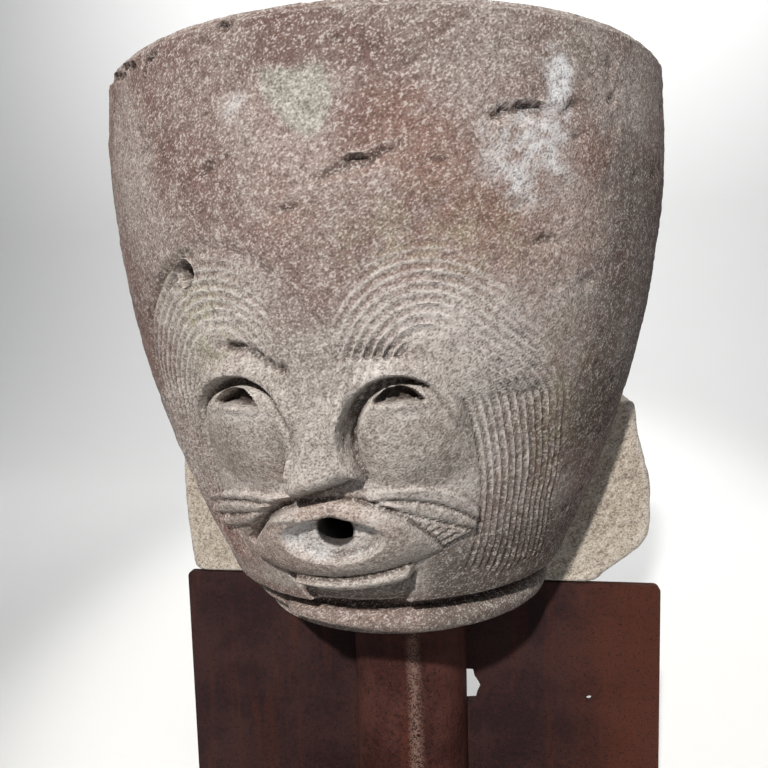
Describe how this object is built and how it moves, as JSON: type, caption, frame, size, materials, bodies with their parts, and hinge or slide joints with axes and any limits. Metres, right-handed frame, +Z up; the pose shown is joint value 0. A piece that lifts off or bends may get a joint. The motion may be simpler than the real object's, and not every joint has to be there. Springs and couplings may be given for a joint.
{
  "type": "lion head fountain",
  "caption": "Carved sandstone spout stone with a lion's face and a water bore, on a rusted steel pipe with side plates and a flat foot plate.",
  "frame": {"origin": "on the underside of the foot plate, under the axis of the pipe", "axes": "+Z up, the lion's face looks along -Y, +X to the right of the picture"},
  "size_m": [0.509, 0.4064, 0.7336],
  "materials": {
    "sandstone": "weathered reddish-grey sandstone, rough and pitted, with lime streaks and a thin green tint in the mane",
    "rusted_pipe": "fine even reddish-brown rust with a pale vertical streak",
    "rusted_plate": "dark purple-brown rust, more orange towards one side"
  },
  "bodies": {
    "root": {"lion_stone": "sandstone", "support_pipe": "rusted_pipe", "left_plate": "rusted_plate", "right_plate": "rusted_plate", "foot_plate": "rusted_plate"}
  },
  "joints": []
}
